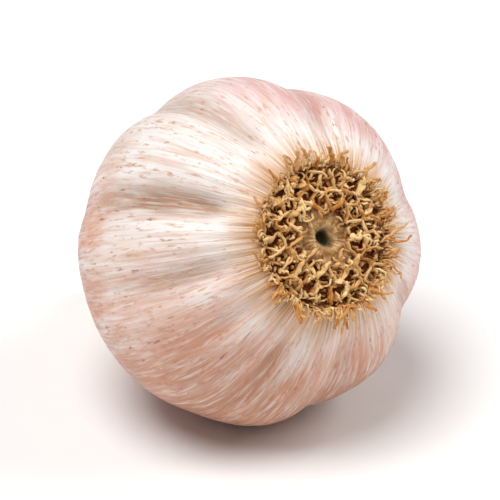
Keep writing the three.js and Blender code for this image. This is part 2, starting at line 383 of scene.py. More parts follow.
def ring(radius, height):
    """A level ring of points round the axis."""
    angle = np.linspace(0, 2 * np.pi, AROUND, endpoint=False)
    return np.stack([radius * np.cos(angle), radius * np.sin(angle), np.full(AROUND, height)], -1)


def toward_axis(row, radius, height):
    """A row with the same directions from the axis, at another radius and height."""
    flat = row[:, :2] / np.linalg.norm(row[:, :2], axis=1, keepdims=True)
    return np.column_stack([flat * radius, np.full(len(row), height)])


along, degrees = np.meshgrid(
    np.linspace(0, 1, SKIN_ROWS), np.linspace(0, 360, AROUND, endpoint=False), indexing="ij"
)
skin = skin_points(along, degrees)
rim_radius = np.linalg.norm(skin[-1][:, :2], axis=1)
inner_rim = skin[-1].copy()
inner_rim[:, :2] *= ((rim_radius - WALL) / rim_radius)[:, None]
seat = [ring(SOCKET_RADIUS + out, SOCKET_FLOOR + up) for out, up in SEAT_RINGS]
throat = [toward_axis(inner_rim, STALK_RADIUS + out, -NECK_END + up) for out, up in THROAT_RINGS]
skin_grid = np.concatenate([np.array(seat), skin, np.array([inner_rim, *throat])])
print("skin grid:", skin_grid.shape, "- one column every", round(2 * np.pi * BODY_RADIUS / AROUND, 2), "mm")

# %% [markdown]
# A garlic skin isn't one colour all round. This one is pink on the upper right and yellow at the root
# plate, and peach on the lower left, partly its own tint and partly a painted warm reflection. Painted
# shade is added too: brown in the creases, a darker, browner underside and darker grooves between the
# neck's pleats. Painting that on an image would need an unwrapped skin.
# A number from 0 to 1 on each point says the same and follows the form. Noise with patches about 9 mm wide
# softly breaks it up, so that no border is a clean curve.

# %% Where the colours lie
PATCH_SIZE = 9
# The peach on these sides is partly the skin's own tint and partly a painted warm reflection.
PEACH_AND_BOUNCE_SIDE = 242
PEACH_AND_BOUNCE_FLANK = 190
PINK_SIDE = 22
# Round this side the lower skin is painted darker and browner, as painted shade.
SHADED_UNDERSIDE = 264
angle = np.radians(degrees)
patchy = unevenness(skin, PATCH_SIZE)


def facing(place_deg):
    """1 on the side of the bulb at that place round the axis, 0 on the other."""
    return 0.5 + 0.5 * np.cos(angle - np.radians(place_deg))


# Peach on the lower left: partly the skin's own tint, partly a painted warm reflection of light from below.
peach_and_warm_bounce = smoothstep(facing(PEACH_AND_BOUNCE_SIDE) + 0.12 * patchy, 0.5, 0.95) * smoothstep(along, -0.02, 0.16)
peach_flank_and_warm_bounce = smoothstep(facing(PEACH_AND_BOUNCE_FLANK) + 0.12 * patchy, 0.55, 0.95) * smoothstep(along, 0.32, 0.41)
# Painted shade: the underside of the bulb is painted darker and browner.
underside_shade_mask = smoothstep(facing(SHADED_UNDERSIDE) + 0.08 * patchy, 0.58, 0.96) * smoothstep(along, 0.03, 0.3)
grooved = smoothstep(along, 0.66, 0.85) * (1 - smoothstep(along, 0.93, 1))
tone_maps = {
    # Painted shade: the skin is painted brown-grey in the creases, the more the deeper the crease.
    "crease_shade": smoothstep(valley_depth(along, degrees), 0.5, 2.6),
    "plate_tone": 1 - smoothstep(along, 0.0, 0.095),
    "neck_tone": smoothstep(along, 0.7, 0.9),
    # Painted shade: the grooves between the neck's pleats are painted darker.
    "groove_shade": grooved * smoothstep(-pleat(degrees), 0.1, 0.9),
    "shoulder_tone": smoothstep(along, 0.4, 0.56) * (1 - smoothstep(along, 0.72, 0.88)),
    "underside_shade": underside_shade_mask,
    "peach_and_warm_bounce": np.maximum(peach_and_warm_bounce, 0.9 * peach_flank_and_warm_bounce),
    "pink": smoothstep(facing(PINK_SIDE) + 0.1 * patchy, 0.5, 0.9) * smoothstep(along, 0.06, 0.2),
}
print("share of the skin:", {name: round(float(tone.mean()), 2) for name, tone in tone_maps.items()})

# %% [markdown]
# The piece also carries its own coordinates: the place round the axis as a point on a circle, so that
# nothing jumps at 360 degrees, and how far along. The rows of the seat and of the throat take the numbers of
# the row next to them.

# %% The skin of the bulb
def padded(values):
    """Numbers of the skin's rows, repeated over the rows of the seat and the throat."""
    before = values[:1].repeat(len(seat), 0)
    after = values[-1:].repeat(1 + len(throat), 0)
    return np.concatenate([before, values, after])


skin_numbers = {"round_axis": padded(np.stack([np.cos(angle), np.sin(angle), along], -1))}
skin_numbers.update({name: padded(tone) for name, tone in tone_maps.items()})
bulb_skin = rows_piece("bulb_skin", skin_grid, skin_numbers)
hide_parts("bulb")

# %% [markdown]
# The corky plate is what the roots grew from: a disc of dead, spongy tissue with a dimple in its middle and
# a soft lip round the dimple. Its height over the distance from the axis is one formula. Everything that
# stands on the plate needs that height too, so the formula is kept apart from the mesh, which a sculpted
# plate couldn't offer.

# %% Height of the plate and the skin round it
PLATE_TOP = 23.25
PLATE_EDGE = 11.0
EDGE_DROP = 0.4
DIMPLE_RADIUS = 1.3
DIMPLE_DEPTH = 2.0
DIMPLE_STEEPNESS = 1.2
LIP_RADIUS = 2.0
LIP_WIDTH = 0.9
LIP_HEIGHT = 0.5


def plate_height(radius):
    """The plate's top over the distance from the axis, without its roughness."""
    bowl = -DIMPLE_DEPTH * np.exp(-((radius / DIMPLE_RADIUS) ** 2) * DIMPLE_STEEPNESS)
    lip = LIP_HEIGHT * np.exp(-(((radius - LIP_RADIUS) / LIP_WIDTH) ** 2))
    return PLATE_TOP + bowl + lip - EDGE_DROP * smoothstep(radius, 3, PLATE_EDGE)


def skin_height(radius):
    """The body's arc over the distance from the axis."""
    return ROOT_HEIGHT * np.sqrt(np.maximum(1 - (radius / BODY_RADIUS) ** 2, 0))


def ground(radius):
    """What lies under a root: the plate, then the skin round it."""
    return np.where(radius < SOCKET_RADIUS - 0.3, plate_height(radius), skin_height(radius))


print("heights at 0, 2, 10 and 13 mm from the axis:", ground(np.array([0, 2, 10, 13])).round(2).tolist())

# %% [markdown]
# Cork that has dried is crumbly, and it is pitted where roots were lost. The pits are noise of two sizes,
# about one and two millimetres, because one size alone looks like a regular pattern. Round the dimple run
# fine ribs, and the dimple itself is a little oval. All of it is form and not bump, since the light rakes
# over the plate and it shows between the roots.

# %% The root plate
PLATE_ROWS = 110
PLATE_AROUND = 300
PITS = [(0.22, 0.9), (0.3, 2.2)]
RIBS = [19, 27, 34]
RIB_HEIGHT = 0.10
RIB_END = 6
radius, turn = np.meshgrid(
    np.linspace(0.06, 1, PLATE_ROWS) * PLATE_EDGE,
    np.linspace(0, 2 * np.pi, PLATE_AROUND, endpoint=False),
    indexing="ij",
)
oval_radius = radius * (1 + 0.16 * np.sin(2 * turn + 0.6) + 0.1 * np.sin(3 * turn + 2))
plate = np.stack([radius * np.cos(turn), radius * np.sin(turn), plate_height(oval_radius)], -1)
plate[..., 2] += sum(depth * unevenness(plate, size) for depth, size in PITS)
ribs = RIB_HEIGHT * waves(RIBS, turn, radius / RIB_END, seed=4)
plate[..., 2] += ribs * smoothstep(radius, 0.8, 2) * (1 - smoothstep(radius, 4, RIB_END))
under_edge = plate[-1] * [1, 1, 0] + [0, 0, SOCKET_FLOOR + 0.35]
plate_grid = np.concatenate([plate, under_edge[None]])
from_axis = np.concatenate([oval_radius, oval_radius[-1:]]) / PLATE_EDGE
root_plate = rows_piece("root_plate", plate_grid[::-1], {"from_axis": from_axis[::-1]})
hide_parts("root_tuft")

# %% [markdown]
# A root is a tapering tube along a line of points. Blender can give a curve a round thickness, but drying
# leaves a real root flat and grooved, and hundreds of curve objects are slow. So the rings of points round
# all the roots are worked out in one array, and a frame is carried along each line without twisting. The
# first roots can be ribbons that stand on edge; the others are rounder and lie as they like.

# %% Rings round the roots
SIDES = 9
GROOVES = 3
GROOVE_DEPTH = 0.2
# A full turn in radians, as near as a random phase needs it.
FULL_TURN = 6.28
UPRIGHT = [0.0, 0.0, 1.0]
ASKEW = [0.31, 0.64, 0.70]


def root_rings(lines, radii, tones, on_edge):
    """Rings of points round the lines: roots x points x sides x 3."""
    heading = np.gradient(lines, axis=1)
    heading /= np.linalg.norm(heading, axis=-1, keepdims=True)
    side = np.where(on_edge, UPRIGHT, np.cross(heading[:, 0], ASKEW))
    turn = np.linspace(0, 2 * np.pi, SIDES, endpoint=False)
    groove = 1 + GROOVE_DEPTH * np.cos(GROOVES * turn[None] + FULL_TURN * tones[:, None])
    # A second random number for each root: a thin ribbon or a thicker one, a flat tube or a round one.
    own = np.mod(7.3 * tones, 1)[:, None]
    flatness = np.where(on_edge, 0.24 + 0.14 * own, 0.5 + 0.4 * own)
    rings = []
    for i in range(lines.shape[1]):
        side = side - (side * heading[:, i]).sum(-1, keepdims=True) * heading[:, i]
        side /= np.linalg.norm(side, axis=-1, keepdims=True)
        other = np.cross(heading[:, i], side)
        wheel = (groove * np.cos(turn))[..., None] * side[:, None]
        wheel = wheel + (groove * flatness * np.sin(turn))[..., None] * other[:, None]
        rings.append(lines[:, i, None] + radii[:, i, None, None] * wheel)
    return np.stack(rings, 1)


straight = np.linspace([0, 0, 0], [3, 0, 0], 4)[None]
straight_rings = root_rings(straight, np.ones((1, 4)), np.ones(1), np.array([[False]]))
print("rings of a straight root reach", straight_rings.reshape(-1, 3).max(0).round(2).tolist())

# %% [markdown]
# All the tubes of a piece share one mesh. Joining hundreds of objects would give the same, only slower. Each
# root stores a tone of its own, since dried roots differ from straw to dark brown, and each point its height
# above the plate, because old soil and painted shade darken them low down.

# %% Many tubes at once
def tube_faces(count, points):
    """Faces of all the tubes: quads along each, and a fan at each end to its middle point."""
    block = points * SIDES
    quads = np.array(row_faces(points, SIDES, False))
    k = np.arange(SIDES)
    nxt = (k + 1) % SIDES
    fans = np.concatenate([
        np.stack([np.full(SIDES, block), k, nxt], -1),
        np.stack([np.full(SIDES, block + 1), block - SIDES + nxt, block - SIDES + k], -1),
    ])
    shift = (np.arange(count) * (block + 2))[:, None, None]
    faces = (quads[None, :, ::-1] + shift).reshape(-1, 4).tolist()
    return faces + (fans[None, :, ::-1] + shift).reshape(-1, 3).tolist()


def tubes_piece(name, lines, radii, tones, ribbons=0):
    """lines: roots x points x 3, radii: roots x points, tones: one for each root."""
    count, points, _ = lines.shape
    on_edge = (np.arange(count) < ribbons)[:, None]
    rings = root_rings(lines, radii, tones, on_edge).reshape(count, points * SIDES, 3)
    ends = np.stack([lines[:, 0], lines[:, -1]], 1)
    verts = np.concatenate([rings, ends], 1).reshape(-1, 3)
    above = verts[:, 2] - ground(np.linalg.norm(verts[:, :2], axis=1))
    numbers = {"tone": np.repeat(tones, points * SIDES + 2), "above": above}
    return mesh_piece(name, verts, tube_faces(count, points), numbers)


print("two tubes of four rings have", len(tube_faces(2, 4)), "faces")

# %% [markdown]
# The roots were cut short after the harvest and dried in a tangle, like a bird's nest. Its look comes from
# dark hollows a millimetre or two wide with flattened, curled roots round them, like the walls of a
# honeycomb. Hair could be scattered on the plate and combed, but it would never leave such hollows. So the
# hollows come first: random points that keep their distance from each other.

# %% Hollows of the mat
draw = np.random.default_rng(7)
BARE_MIDDLE = 3.9
RING_OUTER = 11.0
HOLLOW_SPACING = 2.15
HOLLOW_TRIES = 3000


def hollows():
    """Random points in the ring of roots, none too close to another."""
    places = []
    for _ in range(HOLLOW_TRIES):
        radius = np.sqrt(draw.uniform((BARE_MIDDLE + 1.0) ** 2, (RING_OUTER - 0.7) ** 2))
        turn = draw.uniform(0, 2 * np.pi)
        place = np.array([radius * np.cos(turn), radius * np.sin(turn)])
        if all(np.linalg.norm(place - other) > HOLLOW_SPACING for other in places):
            places.append(place)
    return np.array(places)


places = hollows()
print(len(places), "hollows in the mat")

# %% [markdown]
# Between two neighbouring hollows stands a wall of old roots. Walls stand where two hollows are equally
# near, and end where a third comes as near, so that they join into a net. Blender has a texture that draws
# such cells, but only as a picture, and these walls have to stand up. Each is found by walking from the
# middle between two hollows to both sides.

# %% One wall
STEPS = 12
WALK = np.linspace(0, 1.7, 35)[:, None]


def wall_end(middle, way, one, middles):
    """Where a walk from the middle along the wall meets a third hollow that is as near."""
    steps = middle + WALK * way
    nearest = np.linalg.norm(steps[:, None] - middles[None], axis=-1).min(1)
    free = nearest > np.linalg.norm(steps - one, axis=-1) - 1e-6
    return steps[-1] if free.all() else steps[max(np.argmin(free) - 1, 0)]


def wall_line(ends, apart, rise):
    """A root from one joint of the net to the next, bowed a little, with an uneven top."""
    t = np.linspace(-0.08, 1.08, STEPS)[:, None]
    bow = draw.uniform(-0.3, 0.3) * np.sin(np.pi * t) + 0.08 * np.sin(9 * t + FULL_TURN * draw.uniform())
    flat = ends[0] * (1 - t) + ends[1] * t + bow * apart / np.linalg.norm(apart)
    top = draw.uniform(*rise)
    height = top * (0.72 + 0.28 * np.sin(np.pi * t + draw.uniform(-0.9, 0.9)))
    return np.concatenate([flat, ground(np.linalg.norm(flat, axis=1))[:, None] + height], 1)


print("a wall is looked for up to", WALK[-1, 0], "mm to either side")

# %% Walls between the hollows
SHORTEST_WALL = 0.5
WIDEST_GAP = 2.3 * HOLLOW_SPACING


def walls(middles, rise):
    """Roots along the lines half way between neighbouring hollows."""
    lines = []
    for i, one in enumerate(middles):
        for other in middles[:i]:
            apart = other - one
            gap = np.linalg.norm(apart)
            along_wall = np.array([-apart[1], apart[0]]) / gap
            ends = [wall_end((one + other) / 2, way * along_wall, one, middles) for way in (-1, 1)]
            if np.linalg.norm(ends[1] - ends[0]) < SHORTEST_WALL or gap > WIDEST_GAP:
                continue
            lines.append(wall_line(ends, apart, rise))
    return np.array(lines)


print("hollows more than", round(WIDEST_GAP, 1), "mm apart have no wall between them")

# %% [markdown]
# Over the net lie roots that curled up as they dried. Each is drawn as an arc round a hollow that rises from
# the plate and bends down again, or is cut off on the way. A simulated curl would look much the same, but it
# would not stay round the hollows and keep them open.

# %% Curled roots
FOOT_DEPTH = 0.4


def loops(middles, away, rise, sweep):
    """Roots that curl round the given points: how far from them, how high, and through what angle."""
    count = len(middles)
    t = np.linspace(0, 1, STEPS)
    start = draw.uniform(0, 2 * np.pi, (count, 1))
    turn = start + draw.uniform(*sweep, (count, 1)) * draw.choice([-1, 1], (count, 1)) * t
    out = draw.uniform(*away, (count, 1)) * (1 + 0.3 * np.sin(2 * turn + start))
    flat = middles[:, None] + out[..., None] * np.stack([np.cos(turn), np.sin(turn)], -1)
    top = draw.uniform(*rise, (count, 1))
    fall = draw.uniform(0.1, 1.15, (count, 1))
    height = -FOOT_DEPTH + (top + FOOT_DEPTH) * (1 - (1 - t) ** 2.4) * (1 - fall * t**3)
    return np.concatenate([flat, (ground(np.linalg.norm(flat, axis=-1)) + height)[..., None]], -1)


print("each curled root has", STEPS, "points and a foot", FOOT_DEPTH, "mm deep in the plate")

# %% [markdown]
# The rest are short cut stubs that stand up between the others, lean outwards and curl. They grow step by
# step, as a turtle draws: each step goes on in the last one's heading, bent by a little more. The feet are
# spread by the golden angle, which fills a ring evenly without rows, and some play hides its spiral.

# %% Standing roots
GOLDEN_ANGLE = 2.399963
STUB_FOOT = 0.5
SKIN_NEAR = SOCKET_RADIUS - 0.8
OVER_SKIN = 0.15


def ring_places(count, inner, outer):
    """Points spread evenly over a ring, as radius and angle."""
    share = (np.arange(count) + draw.uniform(0, 1, count)) / count
    radius = np.sqrt(inner**2 + share * (outer**2 - inner**2))
    turn = np.arange(count) * GOLDEN_ANGLE + draw.uniform(-0.25, 0.25, count)
    return radius, turn


def stubs(count, inner, outer, length, lean_deg, curl_deg, astray=0.9):
    """Roots that stand up, lean outwards and curl; those over the edge stay above the skin."""
    radius, turn = ring_places(count, inner, outer)
    point = np.stack([radius * np.cos(turn), radius * np.sin(turn), ground(radius) - STUB_FOOT], -1)
    bearing = turn + draw.normal(0, astray, count)
    lean = np.radians(draw.uniform(*lean_deg, count))
    curl = np.radians(draw.uniform(*curl_deg, count)) / (STEPS - 1)
    twist = draw.uniform(-0.16, 0.16, count)
    step = draw.uniform(*length, count) / (STEPS - 1)
    line = [point]
    for _ in range(STEPS - 1):
        way = np.stack([np.sin(lean) * np.cos(bearing), np.sin(lean) * np.sin(bearing), np.cos(lean)], -1)
        point = point + way * step[:, None]
        away = np.linalg.norm(point[:, :2], axis=1)
        lowest = ground(away) + np.where(away > SKIN_NEAR, OVER_SKIN, -STUB_FOOT)
        point[:, 2] = np.maximum(point[:, 2], lowest)
        line.append(point)
        lean = lean + curl
        bearing = bearing + twist
    return np.stack(line, 1)


print("each foot lies", np.degrees(GOLDEN_ANGLE).round(1), "degrees round from the last one")

# %% [markdown]
# No dried root is smooth or even. Small bends are added along each line, none at its foot, where it is held.
# Each root has a thickness of its own, tapers, and swells here and there. Noise in a displacement modifier
# would swell them too, but in a pattern that runs on from one root to the next.

# %% Bends and thickness
SWELLING = 0.16


def wobble(lines, size):
    """Small random bends along each line, none at its foot."""
    t = np.linspace(0, 1, lines.shape[1])
    start = draw.uniform(0, FULL_TURN, (2, len(lines), 1, 3))
    beat = draw.uniform(1.0, 2.6, (2, len(lines), 1, 1))
    slow = np.sin(FULL_TURN * beat[0] * t[None, :, None] + start[0])
    fast = np.sin(9 * beat[1] * t[None, :, None] + start[1])
    return lines + size * (slow + 0.6 * fast) * np.minimum(3 * t, 1)[None, :, None]


def thickness(lines, low, high, tip_share):
    """A radius at each point: each root its own, tapering, with a few swellings."""
    count = len(lines)
    base = draw.uniform(low, high, (count, 1))
    t = np.linspace(0, 1, STEPS)[None]
    beat = draw.uniform(1, 3, (count, 1))
    start = draw.uniform(0, 1, (count, 1))
    knots = 1 + SWELLING * np.sin(2 * np.pi * (t * beat + start))
    return base * (1 + (tip_share - 1) * t**1.5) * knots


def bundle(sorts):
    """Lines, radii and tones of several sorts of root, one after the other."""
    lines = np.concatenate([sort[0] for sort in sorts])
    radii = np.concatenate([thickness(*sort[:4]) for sort in sorts])
    tones = np.concatenate([draw.uniform(*sort[4:], len(sort[0])) for sort in sorts])
    return lines, radii, tones


print("a root swells and thins by", round(SWELLING * 100), "percent along its taper")

# %% [markdown]
# The mat is built from below: the net of walls first, then curled roots on top, so that the light catches
# the upper roots and the gaps between them stay dark. Over the bare middle lie a few flat, broken strands,
# none of them over the dimple. Lengths and heights are in millimetres, leans and curls in degrees, and
# sweeps in radians.

# %% Lines of the mat
net = wobble(walls(places, rise=(0.5, 1.5)), size=0.05)
low_loops = loops(places.repeat(2, 0), away=(0.9, 1.45), rise=(0.5, 1.3), sweep=(1.0, 2.6))
low_loops = wobble(low_loops, size=0.08)
high_loops = loops(places.repeat(3, 0), away=(0.8, 1.5), rise=(1.0, 2.2), sweep=(1.0, 3.0))
high_loops = wobble(high_loops, size=0.1)
standing = stubs(
    170, inner=BARE_MIDDLE, outer=RING_OUTER - 0.3,
    length=(1.2, 2.5), lean_deg=(5, 60), curl_deg=(10, 110),
)
standing = wobble(standing, size=0.07)
strands = stubs(
    34, inner=2.2, outer=BARE_MIDDLE + 0.6,
    length=(1.6, 3.2), lean_deg=(84, 96), curl_deg=(-4, 4), astray=2.0,
)
strands = wobble(strands, size=0.05)
strands = strands[np.linalg.norm(strands[..., :2], axis=-1).min(1) > DIMPLE_RADIUS + 0.5]
print(len(net), "walls,", len(low_loops) + len(high_loops), "curled roots,", len(standing), "stubs")

# %% The root mat
# Lines, least and most radius in mm, the tip's share of it, darkest and palest tone.
MAT_SORTS = [
    (net, 0.5, 0.8, 0.9, 0.1, 0.8),
    (low_loops, 0.4, 0.62, 0.8, 0.1, 0.9),
    (high_loops, 0.18, 0.34, 0.7, 0.3, 1),
    (standing, 0.22, 0.36, 0.7, 0.1, 1),
    (strands, 0.3, 0.5, 0.6, 0.3, 0.9),
]
root_mat = tubes_piece("root_mat", *bundle(MAT_SORTS), ribbons=len(net) + len(low_loops))

# %% [markdown]
# Round the mat the outermost roots lean over the edge of the plate on to the skin: many short ones, and some
# long, brown ones. A fuzz of root hairs, too thin to count, stands all over and softens the mat. Blender's
# hair would be the usual way, but the exported part needs real meshes, so they are thin tubes as well. The
# hairs are drawn about a tenth of a millimetre thick, coarser than real ones, so that they show.

# %% Bristles over the edge
edge_bristles = stubs(
    300, inner=RING_OUTER - 1.4, outer=RING_OUTER + 0.6,
    length=(1.2, 3.0), lean_deg=(50, 88), curl_deg=(-10, 40), astray=0.35,
)
edge_bristles = wobble(edge_bristles, size=0.06)
long_bristles = stubs(
    60, inner=RING_OUTER - 1.2, outer=RING_OUTER + 0.2,
    length=(2.5, 5.0), lean_deg=(45, 74), curl_deg=(0, 45), astray=0.4,
)
long_bristles = wobble(long_bristles, size=0.13)
hairs = stubs(
    420, inner=BARE_MIDDLE, outer=RING_OUTER + 0.6,
    length=(1.2, 3.0), lean_deg=(10, 85), curl_deg=(-60, 120), astray=1.5,
)
hairs = wobble(hairs, size=0.16)
BRISTLE_SORTS = [
    (edge_bristles, 0.14, 0.3, 0.4, 0.2, 1),
    (long_bristles, 0.22, 0.36, 0.8, 0, 0.4),
    (hairs, 0.04, 0.08, 0.6, 0.3, 1),
]
bristles = tubes_piece("root_bristles", *bundle(BRISTLE_SORTS))

# %% [markdown]
# The flower stalk was cut off with the neck. Its end shows a ring of pale rind and a darker, sunken pith. A
# cylinder with a bevel would have too clean an edge, so its outline is a short table, from the side over the
# rind into the pith. It is turned round the axis, made a little out of round, and roughened at the cut.

# %% The cut flower stalk
STALK_TOP = -NECK_END + 1.0
STALK_ROWS = 60
STALK_AROUND = 144
CUT_ROUGHNESS = 0.12
# Share of the stalk's radius, and mm into the neck from the stalk's cut end.
STALK_OUTLINE = np.array([
    (1, 9.7), (1, 1.2), (0.98, 0.4), (0.92, 0.05), (0.8, 0),
    (0.66, 0.1), (0.5, 0.45), (0.3, 0.8), (0.12, 1.0),
])
corners = STALK_OUTLINE * [STALK_RADIUS, 1] + [0, STALK_TOP]
spans = np.linspace(0, len(corners) - 1, STALK_ROWS)
fine = np.stack([np.interp(spans, np.arange(len(corners)), corners[:, i]) for i in (0, 1)], -1)
stalk_turn = np.linspace(0, 2 * np.pi, STALK_AROUND, endpoint=False)
out_of_round = 1 + 0.02 * waves([3, 5, 8], stalk_turn, 0, seed=9)[None] * np.ones((len(fine), 1))
stalk_grid = np.stack([
    fine[:, :1] * out_of_round * np.cos(stalk_turn),
    fine[:, :1] * out_of_round * np.sin(stalk_turn),
    fine[:, 1:] * np.ones_like(out_of_round),
], -1)
near_cut = smoothstep(STALK_TOP + 1.6 - stalk_grid[..., 2], 0, 0.6)
stalk_grid[..., 2] += CUT_ROUGHNESS * unevenness(stalk_grid, 0.6) * near_cut
stalk_numbers = {"from_axis": fine[:, :1] * out_of_round / STALK_RADIUS}
flower_stalk = rows_piece("flower_stalk_end", stalk_grid, stalk_numbers)
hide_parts("flower_stalk")

# %% [markdown]
# Between the stalk and the outer skin stand the cut edges of two inner sheaths, thin as paper, each a bit
# shorter than the skin. A single sheet with a solidify modifier would have a square edge. Each sheath is a
# loop of five rows instead, with a thin, rounded and torn edge, and it follows the skin's own pleats.

# %% The inner sheaths
SHEATH_WALL = 0.14
SHEATH_DEPTH = 3
# Share of the way from the stalk to the skin, and mm that the edge stands back from the skin's cut.
SHEATHS = [(0.95, 0.3), (0.5, 0.55)]


def sheath(number, share, cut):
    """One inner sheath: a thin tube with a torn edge."""
    turn = angle[0]
    rind = STALK_RADIUS + 0.05
    follows = rind + share * (rim_radius - WALL - rind)
    wavy = follows + 0.04 * waves([5, 9, 14], turn, 0, seed=20 + number)
    torn = -NECK_END + cut + 0.2 * waves([4, 7, 13, 22, 35], turn, 0, seed=30 + number)
    deep = np.full_like(turn, -NECK_END + SHEATH_DEPTH)
    loop = [
        (wavy, deep), (wavy, torn + 0.1), (wavy - SHEATH_WALL / 2, torn),
        (wavy - SHEATH_WALL, torn + 0.1), (wavy - SHEATH_WALL, deep),
    ]
    grid = np.stack([np.stack([r * np.cos(turn), r * np.sin(turn), z], -1) for r, z in loop])
    round_axis = np.stack([np.cos(turn), np.sin(turn), np.full_like(turn, 0.98)], -1)
    numbers = {
        "round_axis": np.broadcast_to(round_axis, grid.shape)[::-1],
        "neck_tone": np.ones(grid.shape[:2]),
    }
    piece = rows_piece(f"neck_sheath_{number}", grid[::-1], numbers, closed_loop=True)
    return piece


sheaths = [sheath(number, share, cut) for number, (share, cut) in enumerate(SHEATHS, 1)]

# %% [markdown]
# Colours are written as a screen shows them, in hex, because that is how they can be read off and compared.
# Light adds up in linear values, so one function turns them. Nodes could be placed by hand in the shader
# editor; in a script one small function adds a node with its settings and links and gives back its output,
# so that a material reads from top to bottom.

# %% Helpers for materials
def linear(hex_code):
    """An sRGB hex colour as linear RGBA."""
    parts = [int(hex_code[i : i + 2], 16) / 255 for i in (1, 3, 5)]
    return [c / 12.92 if c <= 0.04045 else ((c + 0.055) / 1.055) ** 2.4 for c in parts] + [1.0]


def add(tree, kind, settings=None, out=0, **inputs):
    """Adds a node and gives back one of its outputs. settings are its own properties; an input is a value
    or another node's output, and a name that starts with at_ is the input's number."""
    made = tree.nodes.new(kind)
    for key, value in (settings or {}).items():
        setattr(made, key, value)
    for key, value in inputs.items():
        socket = made.inputs[int(key[3:]) if key.startswith("at_") else key.replace("_", " ")]
        if isinstance(value, bpy.types.NodeSocket):
            tree.links.new(value, socket)
        else:
            socket.default_value = value
    return made.outputs[out]


def new_material(name, **shader):
    """A material with one Principled shader; its constant values are set on the shader's own sockets."""
    material = bpy.data.materials.new(name)
    material.use_nodes = True
    tree = material.node_tree
    surface = tree.nodes["Principled BSDF"]
    for key, value in shader.items():
        surface.inputs[key.replace("_", " ")].default_value = value
    return material, tree, surface


# A Mix node's colours are its inputs 6 and 7, and its mixed colour is its output 2.
MIX = {"data_type": "RGBA"}
TIMES = {"operation": "MULTIPLY"}
PLUS = {"operation": "ADD"}
print("mid grey #808080 is", round(linear("#808080")[0], 3), "in linear light")

# %% [markdown]
# The skin is dead leaf sheath: thin, dry, fibrous cellulose with a faint natural wax, dried on the bulb. It
# is satin rather than glossy, and a little light passes into it. Its colour is drawn along the fibres. An
# image texture or plain 3-D noise would cut across them, so the noise is made in the coordinates stored on
# the mesh, stretched so that a patch is long and narrow, and it closes in at both poles as the fibres do.

# %% Papery skin
papery, tree, surface = new_material(
    "papery_garlic_skin", Roughness=0.5, IOR=1.45, Subsurface_Weight=0.12, Subsurface_Scale=1.2 * MM
)
place = add(tree, "ShaderNodeAttribute", {"attribute_name": "round_axis"}, out="Vector")
tones = {
    name: add(tree, "ShaderNodeAttribute", {"attribute_name": name}, out="Fac") for name in tone_maps
}


def streaks(width_mm, length_mm, seed, detail):
    """Noise in the skin's own coordinates, with patches of that size where the bulb is widest."""
    across = BODY_RADIUS / width_mm
    cells = (across, across, SKIN_LENGTH / length_mm)
    spread = add(tree, "ShaderNodeVectorMath", TIMES, at_0=place, at_1=cells)
    moved = add(tree, "ShaderNodeVectorMath", PLUS, at_0=spread, at_1=(seed, seed, 0))
    return add(tree, "ShaderNodeTexNoise", Vector=moved, Scale=1.0, Detail=detail, Roughness=0.55)


print("the skin's material reads", len(tones), "tones from the mesh")

# %% [markdown]
# Real skin has its colours one over the other, and so has this one: broad pale and tinted patches first,
# with painted shade among them in the creases and on the underside and a painted warm reflection in the
# peach, then fibre streaks half a millimetre wide and short flecks of two or three millimetres, purple
# streaks on the shoulder, and last the yellow at the root plate, the straw of the neck and painted shade
# in the grooves of its pleats. Real fibres are about a tenth of a millimetre apart, too fine to show, so
# they are drawn as coarse as they need to be. One loop lays all the layers, as each is the same three
# steps: noise, a part of it picked out, a colour mixed in.

# %% Layers of colour
SKIN_BASE = "#f8f1ec"
SEED_STEP = 31
STREAK_DETAIL = 2.5
# Colour, width and length in mm of a patch or streak, noise from and to, share, where.
LAYERS = [
    ("#f2e0d7", 7.0, 25, 0.42, 0.64, 0.6, None),
    ("#fffaf6", 2.33, 11, 0.46, 0.66, 0.75, None),
    # Peach: the skin's own tint together with a painted warm reflection.
    ("#df997a", 4.0, 15, 0.24, 0.56, 0.9, "peach_and_warm_bounce"),
    ("#e2a3a6", 3.1, 15, 0.24, 0.56, 0.95, "pink"),
    # Painted shade in the creases.
    ("#a2795b", 3.1, 15, 0.15, 0.45, 0.95, "crease_shade"),
    # Painted shade on the underside.
    ("#b68268", 3.1, 12.6, 0.12, 0.46, 0.95, "underside_shade"),
    ("#dcae90", 0.74, 8.4, 0.48, 0.68, 0.45, None),
    ("#cb9879", 0.44, 11, 0.52, 0.70, 0.4, None),
    ("#fefaf6", 0.56, 6.3, 0.49, 0.70, 0.44, None),
    ("#d1966b", 0.74, 2.7, 0.58, 0.70, 0.68, None),
    ("#c0784f", 0.67, 2.2, 0.58, 0.68, 0.58, "peach_and_warm_bounce"),
    ("#c07f8f", 0.93, 19, 0.46, 0.66, 0.75, "shoulder_tone"),
    ("#a04a60", 0.61, 9.5, 0.60, 0.70, 0.7, "shoulder_tone"),
    ("#9a5560", 0.85, 2.9, 0.67, 0.75, 0.65, None),
    ("#b06a3c", 0.85, 2.2, 0.66, 0.74, 0.75, None),
    ("#dda45f", 0.93, 25, 0.26, 0.62, 1.0, "plate_tone"),
    ("#b57a3a", 0.54, 19, 0.46, 0.64, 0.9, "plate_tone"),
    ("#efcf9f", 1.4, 12.6, 0.20, 0.55, 0.9, "neck_tone"),
    # Painted shade in the grooves of the neck's pleats.
    ("#b3834f", 1.08, 15, 0.25, 0.60, 0.8, "groove_shade"),
]
colour = linear(SKIN_BASE)
